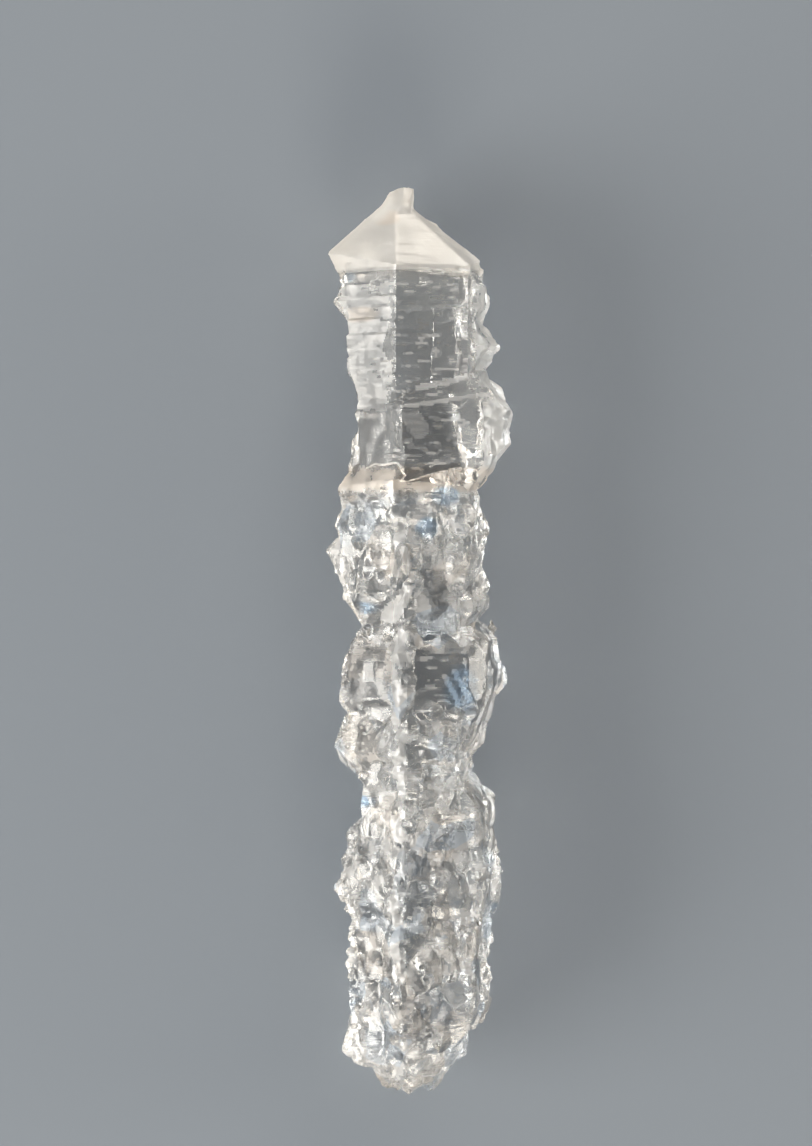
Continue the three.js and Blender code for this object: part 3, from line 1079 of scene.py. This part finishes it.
        # Painted glints at the listed spots on the top half.
        on_top = nodes.ramp(axes.outputs["Z"], AXIS_Z_MM, AXIS_Z_MM + self.top_fade_mm)
        warm = nodes.math("MAXIMUM", warm, self._glinting(nodes, place, on_top, Tint.PEACH))
        cold = nodes.math("MAXIMUM", cold, self._glinting(nodes, place, on_top, Tint.BLUE))
        body = nodes.mixed(tip, self.clear, self.cream)
        body = nodes.mixed(nodes.math("MAXIMUM", warm, ledge), body, self.peach)
        return nodes.mixed(cold, body, self.blue)

    def _glinting(self, nodes: Nodes, place: Socket, on_top: Socket, tint: Tint) -> Socket:
        """Adds the mask of the painted glints of one colour.

        Args:
            nodes: The group's nodes.
            place: The place, in millimetres.
            on_top: The mask of the crystal's upper half.
            tint: The colour.

        Returns:
            The mask, 1 in the glints.
        """
        nearest = None
        for glint in self.glints:
            if glint.tint is tint:
                reach = nodes.reach(
                    place,
                    middle=(AXIS_X_MM + glint.right_mm, foot_mm() + glint.height_mm, 0.0),
                    factors=(1.0 / glint.half_width_mm, 1.0 / glint.half_height_mm, 0.0),
                )
                nearest = reach if nearest is None else nodes.math("MINIMUM", nearest, reach)
        return nodes.math("MULTIPLY", nodes.ramp(nearest, *self.glint_edge), on_top)

    def _front_crest(self, nodes: Nodes, axes: bpy.types.Node, height: Socket) -> Socket:
        """Adds the mask of the frosted front edge.

        Args:
            nodes: The group's nodes.
            axes: The place, in millimetres, as its three parts.
            height: The height above the foot, in millimetres.

        Returns:
            The mask, 1 on the edge.
        """
        right = nodes.math("SUBTRACT", axes.outputs["X"], AXIS_X_MM)
        up = nodes.math("SUBTRACT", axes.outputs["Z"], AXIS_Z_MM)
        around = nodes.math("ARCTAN2", up, right)
        beside = nodes.near(around, math.radians(self.crest_at_deg), math.radians(self.crest_half_deg))
        foot, top = self.crest_mm
        low = nodes.ramp(height, foot, foot + self.crest_fade_mm)
        high = nodes.ramp(height, top, top - self.crest_fade_mm)
        return nodes.math("MULTIPLY", beside, nodes.math("MULTIPLY", low, high))

    @staticmethod
    def _outside_windows(nodes: Nodes, axes: bpy.types.Node, height: Socket) -> Socket:
        """Adds the mask of what lies outside every window.

        Args:
            nodes: The group's nodes.
            axes: The place, in millimetres, as its three parts.
            height: The height above the foot, in millimetres.

        Returns:
            The mask, 0 in a window and 1 outside.
        """
        right = nodes.math("SUBTRACT", axes.outputs["X"], AXIS_X_MM)
        outside = None
        for window in WINDOWS:
            across = nodes.math("ABSOLUTE", nodes.math("SUBTRACT", right, window.right_mm))
            along = nodes.math("ABSOLUTE", nodes.math("SUBTRACT", height, window.height_mm))
            beside = nodes.ramp(across, window.half_width_mm, window.half_width_mm + WINDOW_EDGE_MM)
            beyond = nodes.ramp(along, window.half_height_mm, window.half_height_mm + WINDOW_EDGE_MM)
            clear_of_it = nodes.math("MAXIMUM", beside, beyond)
            outside = clear_of_it if outside is None else nodes.math("MINIMUM", outside, clear_of_it)
        return outside


@dataclass(frozen=True)
class Quartz:
    """Rock crystal, glossy on its flat faces and frosted where it is etched.

    Attributes:
        name: Its name.
        transmission: Share of the light that it lets through.
        gloss: Roughness of the flat faces.
        frost: Roughness of the etched surface.
        ior: Refractive index.
        absorption: Colour that the clear inside leaves.
        absorption_per_m: Density of that absorption.
        relief_mm: Depth of the fine lines and pits.
        skin_ior: Refractive index of the frosted skin's sheen.
        skin_roughness: Roughness of that sheen.
    """

    name: str
    transmission: float
    gloss: float
    frost: float
    ior: float = 1.544
    absorption: Triple = (0.95, 0.97, 0.99)
    absorption_per_m: float = 6.0
    relief_mm: float = 0.03
    skin_ior: float = 1.9
    skin_roughness: float = 0.4

    def build(self, pattern: bpy.types.ShaderNodeTree) -> bpy.types.Material:
        """Makes the material.

        Args:
            pattern: The group that says where it is glossy and frosted.

        Returns:
            The finished material.
        """
        material = bpy.data.materials.new(self.name)
        material.use_nodes = True
        material.node_tree.nodes.clear()
        nodes = Nodes(material.node_tree)
        output = nodes.add("ShaderNodeOutputMaterial")
        glass = nodes.add("ShaderNodeBsdfPrincipled")
        glass.inputs["Transmission Weight"].default_value = self.transmission
        glass.inputs["IOR"].default_value = self.ior
        etching = nodes.add("ShaderNodeGroup")
        etching.node_tree = pattern
        etching.inputs["Gloss"].default_value = self.gloss
        etching.inputs["Frost"].default_value = self.frost
        nodes.link(etching.outputs["Colour"], glass.inputs["Base Color"])
        nodes.link(etching.outputs["Roughness"], glass.inputs["Roughness"])
        nodes.link(etching.outputs["Sheen"], glass.inputs["Coat Weight"])
        glass.inputs["Coat Roughness"].default_value = self.skin_roughness
        glass.inputs["Coat IOR"].default_value = self.skin_ior
        bump = nodes.add("ShaderNodeBump")
        bump.inputs["Distance"].default_value = self.relief_mm * MM
        nodes.link(etching.outputs["Relief"], bump.inputs["Height"])
        nodes.link(bump.outputs["Normal"], glass.inputs["Normal"])
        nodes.link(glass.outputs["BSDF"], output.inputs["Surface"])
        volume = nodes.add("ShaderNodeVolumeAbsorption")
        volume.inputs["Color"].default_value = (*self.absorption, 1.0)
        volume.inputs["Density"].default_value = self.absorption_per_m
        nodes.link(volume.outputs["Volume"], output.inputs["Volume"])
        return material


FINISHES = {
    Milk.CLEAR: Quartz("clear_quartz", transmission=0.97, gloss=0.02, frost=0.2),
    Milk.HAZY: Quartz("hazy_quartz", transmission=0.86, gloss=0.1, frost=0.3),
    Milk.MILKY: Quartz("milky_quartz", transmission=0.72, gloss=0.2, frost=0.4),
}


@dataclass(frozen=True)
class PaleFloor:
    """A smooth, plain grey studio surface, larger than the view.

    Attributes:
        colour: Its colour.
        size_m: Length of its side.
        roughness: Roughness of its finish.
        gap_mm: Air between it and the flats that the crystal rests on.
    """

    colour: Triple = (0.27, 0.30, 0.335)
    size_m: float = 3.0
    roughness: float = 0.75
    gap_mm: float = 0.03

    def build(self) -> bpy.types.Object:
        """Makes the floor.

        Returns:
            The floor's object.
        """
        bm = bmesh.new()
        bmesh.ops.create_grid(bm, x_segments=1, y_segments=1, size=self.size_m / 2.0)
        bmesh.ops.translate(bm, verts=bm.verts, vec=(0.0, 0.0, -self.gap_mm * MM))
        mesh = bpy.data.meshes.new("floor")
        bm.to_mesh(mesh)
        bm.free()
        material = bpy.data.materials.new("pale_floor")
        material.use_nodes = True
        shader = material.node_tree.nodes["Principled BSDF"]
        shader.inputs["Base Color"].default_value = (*self.colour, 1.0)
        shader.inputs["Roughness"].default_value = self.roughness
        mesh.materials.append(material)
        floor = new_object("floor", mesh)
        return floor


# --------------------------------------------------------------------------------------- lights and camera


@dataclass(frozen=True)
class SoftBox:
    """A square soft light that points at the crystal.

    Attributes:
        name: Its name.
        azimuth_deg: Where it stands about Z, from +X towards +Y.
        elevation_deg: Its height above the floor, seen from the crystal.
        distance_m: Its distance.
        size_m: Length of its side.
        power_w: Its power.
        colour: Its colour.
    """

    name: str
    azimuth_deg: float
    elevation_deg: float
    distance_m: float
    size_m: float
    power_w: float
    colour: Triple

    def build(self, target: Vector) -> bpy.types.Object:
        """Places the light.

        Args:
            target: The point that it faces.

        Returns:
            The light's object.
        """
        azimuth = math.radians(self.azimuth_deg)
        elevation = math.radians(self.elevation_deg)
        direction = Vector(
            (
                math.cos(azimuth) * math.cos(elevation),
                math.sin(azimuth) * math.cos(elevation),
                math.sin(elevation),
            )
        )
        data = bpy.data.lights.new(self.name, "AREA")
        data.size = self.size_m
        data.energy = self.power_w
        data.color = self.colour
        light = new_object(self.name, data)
        light.location = target + direction * self.distance_m
        light.rotation_euler = direction.to_track_quat("Z", "Y").to_euler()
        return light


@dataclass(frozen=True)
class LookDownCamera:
    """The camera, which looks down on the lying crystal with the c axis upright in its frame.

    Attributes:
        lean_deg: Its direction from the crystal, about the c axis from +X towards +Z.
        distance_m: Its distance from the c axis.
        frame_height_mm: Height of what it sees at that distance.
        centre_up_mm: Height above the foot that it looks at.
        centre_right_mm: How far to the right of the c axis it looks.
        sensor_mm: Long side of its sensor.
    """

    lean_deg: float = 108.0
    distance_m: float = 0.29
    frame_height_mm: float = 76.4
    centre_up_mm: float = 35.13
    centre_right_mm: float = -0.4
    sensor_mm: float = 36.0

    def build(self) -> bpy.types.Object:
        """Places the camera and makes it the scene's own.

        Returns:
            The camera's object.
        """
        lean = math.radians(self.lean_deg)
        outward = Vector((math.cos(lean), 0.0, math.sin(lean)))
        up = Vector((0.0, 1.0, 0.0))
        right = up.cross(outward)
        target = Vector((AXIS_X_MM * MM, along_axis(self.centre_up_mm), AXIS_Z_MM * MM))
        target += right * self.centre_right_mm * MM
        data = bpy.data.cameras.new("camera")
        data.sensor_width = self.sensor_mm
        data.lens = self.sensor_mm * self.distance_m / (self.frame_height_mm * MM)
        data.clip_start = 0.01
        camera = new_object("camera", data)
        turned = Matrix((right, up, outward)).transposed().to_4x4()
        camera.matrix_world = Matrix.Translation(target + outward * self.distance_m) @ turned
        bpy.context.scene.camera = camera
        return camera


@dataclass(frozen=True)
class Room:
    """The room: a bright band of soft light along the walls, and a dim ceiling.

    Attributes:
        warm: Colour of the band on the right.
        cool: Colour of the band on the left.
        ceiling: Colour overhead.
        side: How far to the left and right, as a part of a direction, the band's colours are pure.
        band_top_deg: Elevation where the band begins to fade.
        ceiling_from_deg: Elevation above which only the ceiling is seen.
        strength: Brightness of the whole.
    """

    warm: Triple = (1.0, 0.95, 0.86)
    cool: Triple = (0.95, 0.96, 0.97)
    ceiling: Triple = (0.05, 0.06, 0.08)
    side: float = 0.7
    band_top_deg: float = 8.0
    ceiling_from_deg: float = 45.0
    strength: float = 1.6

    def build(self) -> bpy.types.World:
        """Makes the world and gives it to the scene.

        Returns:
            The world.
        """
        world = bpy.data.worlds.new("room")
        world.use_nodes = True
        nodes = Nodes(world.node_tree)
        background = world.node_tree.nodes["Background"]
        axes = nodes.add("ShaderNodeSeparateXYZ")
        nodes.link(nodes.add("ShaderNodeTexCoord").outputs["Generated"], axes.inputs["Vector"])
        band = nodes.mixed(nodes.ramp(axes.outputs["X"], -self.side, self.side), self.cool, self.warm)
        low = math.sin(math.radians(self.band_top_deg))
        high = math.sin(math.radians(self.ceiling_from_deg))
        overhead = nodes.mixed(nodes.ramp(axes.outputs["Z"], low, high), band, self.ceiling)
        nodes.link(overhead, background.inputs["Color"])
        background.inputs["Strength"].default_value = self.strength
        bpy.context.scene.world = world
        return world


@dataclass(frozen=True)
class Studio:
    """The plain studio: its room and its soft lights.

    Attributes:
        room: The room.
        lights: The soft lights.
    """

    room: Room = Room()
    lights: tuple[SoftBox, ...] = (
        SoftBox("key", 60.0, 40.0, 0.55, 0.30, 0.25, (1.0, 0.96, 0.9)),
        SoftBox("tip", 84.0, 6.0, 0.6, 0.26, 2.4, (1.0, 0.92, 0.8)),
        SoftBox("foot", 270.0, 20.0, 0.6, 0.3, 2.2, (1.0, 0.93, 0.82)),
        SoftBox("left", 195.0, 14.0, 0.6, 0.4, 5.0, (1.0, 0.97, 0.91)),
        SoftBox("right", 2.0, 12.0, 0.6, 0.22, 0.75, (1.0, 0.95, 0.87)),
    )

    def build(self) -> None:
        """Makes the room and the lights."""
        self.room.build()
        target = Vector((0.0, 0.0, AXIS_Z_MM * MM))
        for light in self.lights:
            light.build(target)


def main() -> None:
    """Builds the camera, the crystal, the floor and the studio, and logs the crystal's number of faces."""
    logging.basicConfig(level=logging.INFO, format="%(name)s: %(message)s")
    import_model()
    bpy.context.scene.view_settings.view_transform = "Standard"
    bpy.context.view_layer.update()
    LookDownCamera().build()
    pattern = EtchPattern().build()
    crystal = EtchedCrystal().build([FINISHES[milk].build(pattern) for milk in Milk])
    LOG.info("%s: %d faces", crystal.name, len(crystal.data.polygons))
    PaleFloor().build()
    Studio().build()


if __name__ == "__main__":
    main()
